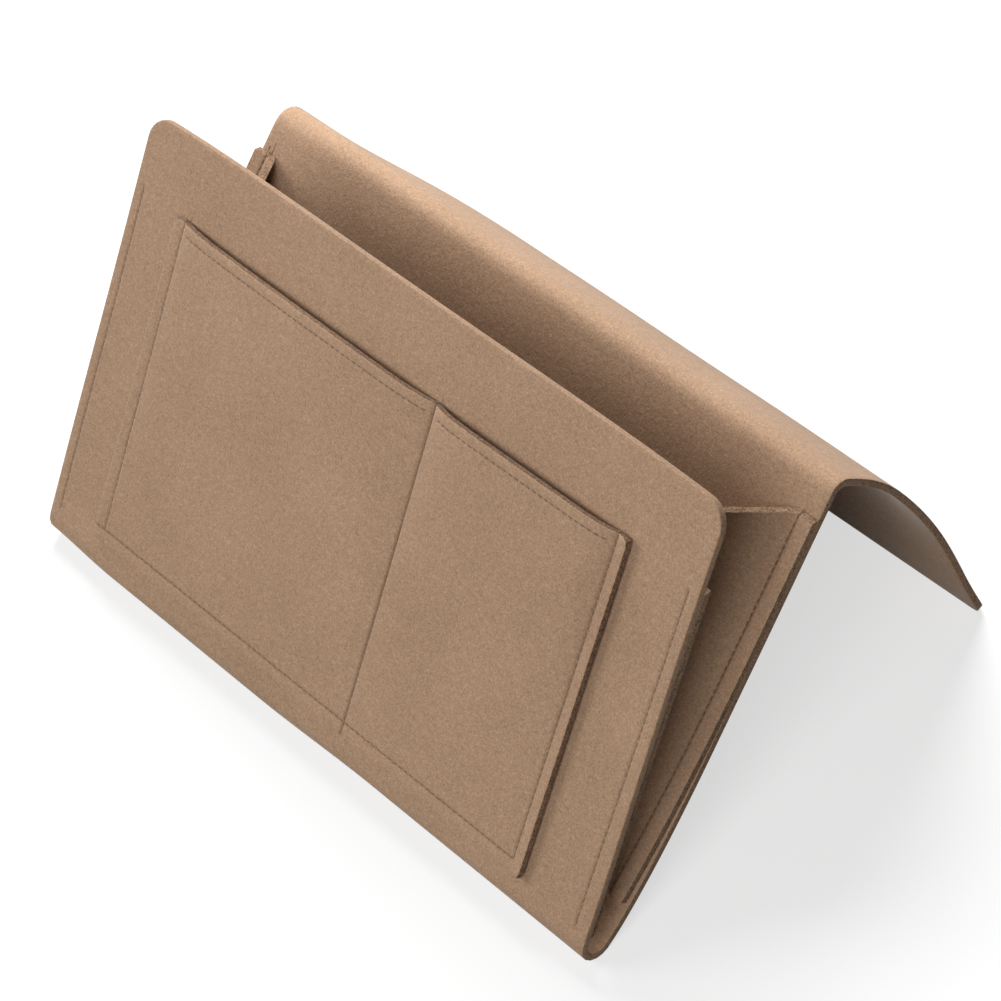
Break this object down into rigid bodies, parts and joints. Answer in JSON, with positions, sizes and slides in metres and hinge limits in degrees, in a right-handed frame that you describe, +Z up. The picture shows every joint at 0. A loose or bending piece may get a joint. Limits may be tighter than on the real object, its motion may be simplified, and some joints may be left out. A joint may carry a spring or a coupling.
{
  "type": "bedside caddy",
  "caption": "Felt bedside caddy: a folded sheet with a main compartment between gusseted sides, a divided flat pocket on its front and a long flap to tuck under a mattress.",
  "frame": {"origin": "on the standing surface, under the centre of the caddy's bounding box", "axes": "+X along the caddy's width (to the right seen from the front), the front panel faces -Y, +Z up as it stands on its base fold and on the end of its flap"},
  "size_m": [0.33, 0.215, 0.1632],
  "materials": {
    "felt": "heathered tan needle felt with a short fuzzy nap",
    "thread": "matte brown sewing thread"
  },
  "bodies": {
    "back": {"back_panel": "felt", "base_fold": "felt", "ridge_bend": "felt", "left_gusset_rear_flange": "felt", "right_gusset_rear_flange": "felt", "left_rear_seam_needle_thread": "thread", "left_rear_seam_bobbin_thread": "thread", "right_rear_seam_needle_thread": "thread", "right_rear_seam_bobbin_thread": "thread"},
    "front": {"front_panel": "felt", "front_pocket": "felt", "left_gusset_front_flange": "felt", "right_gusset_front_flange": "felt", "pocket_seam_needle_thread": "thread", "pocket_seam_bobbin_thread": "thread", "divider_seam_needle_thread": "thread", "divider_seam_bobbin_thread": "thread", "left_hem_needle_thread": "thread", "left_hem_bobbin_thread": "thread", "right_hem_needle_thread": "thread", "right_hem_bobbin_thread": "thread", "left_front_seam_needle_thread": "thread", "left_front_seam_bobbin_thread": "thread", "right_front_seam_needle_thread": "thread", "right_front_seam_bobbin_thread": "thread"},
    "flap": {"anchor_flap": "felt"},
    "left_front_leaf": {"left_gusset_front_leaf": "felt"},
    "right_front_leaf": {"right_gusset_front_leaf": "felt"},
    "left_rear_leaf": {"left_gusset_rear_leaf": "felt"},
    "right_rear_leaf": {"right_gusset_rear_leaf": "felt"}
  },
  "joints": [
    {"name": "mouth", "type": "hinge", "parent": "back", "child": "front", "pos_m": [0, -0.09953, 0.008], "axis": [1, 0, 0], "range_deg": [-12.7, 6], "deforming": ["base_fold"]},
    {"name": "ridge", "type": "hinge", "parent": "back", "child": "flap", "pos_m": [0, 0.05352, 0.12956], "axis": [1, 0, 0], "range_deg": [-60, 83], "deforming": ["ridge_bend"]},
    {"name": "left_front_leaf_fold", "type": "hinge", "parent": "front", "child": "left_front_leaf", "pos_m": [-0.1572, -0.10212, 0.00988], "axis": [0, 0.5878, 0.809], "range_deg": [-33.5, 15.9]},
    {"name": "right_front_leaf_fold", "type": "hinge", "parent": "front", "child": "right_front_leaf", "pos_m": [0.1572, -0.10212, 0.00988], "axis": [0, 0.5878, 0.809], "range_deg": [-15.9, 33.5]},
    {"name": "left_rear_leaf_fold", "type": "hinge", "parent": "back", "child": "left_rear_leaf", "pos_m": [-0.1556, -0.09744, 0.00557], "axis": [0, 0.7581, 0.6521], "range_deg": [-15.9, 33.5]},
    {"name": "right_rear_leaf_fold", "type": "hinge", "parent": "back", "child": "right_rear_leaf", "pos_m": [0.1556, -0.09744, 0.00557], "axis": [0, 0.7581, 0.6521], "range_deg": [-33.5, 15.9]}
  ],
  "couplings": [
    {"joint": "left_front_leaf_fold", "follows": "mouth", "ratio": 2.6316},
    {"joint": "right_front_leaf_fold", "follows": "mouth", "ratio": -2.6316},
    {"joint": "left_rear_leaf_fold", "follows": "mouth", "ratio": -2.6316},
    {"joint": "right_rear_leaf_fold", "follows": "mouth", "ratio": 2.6316}
  ]
}
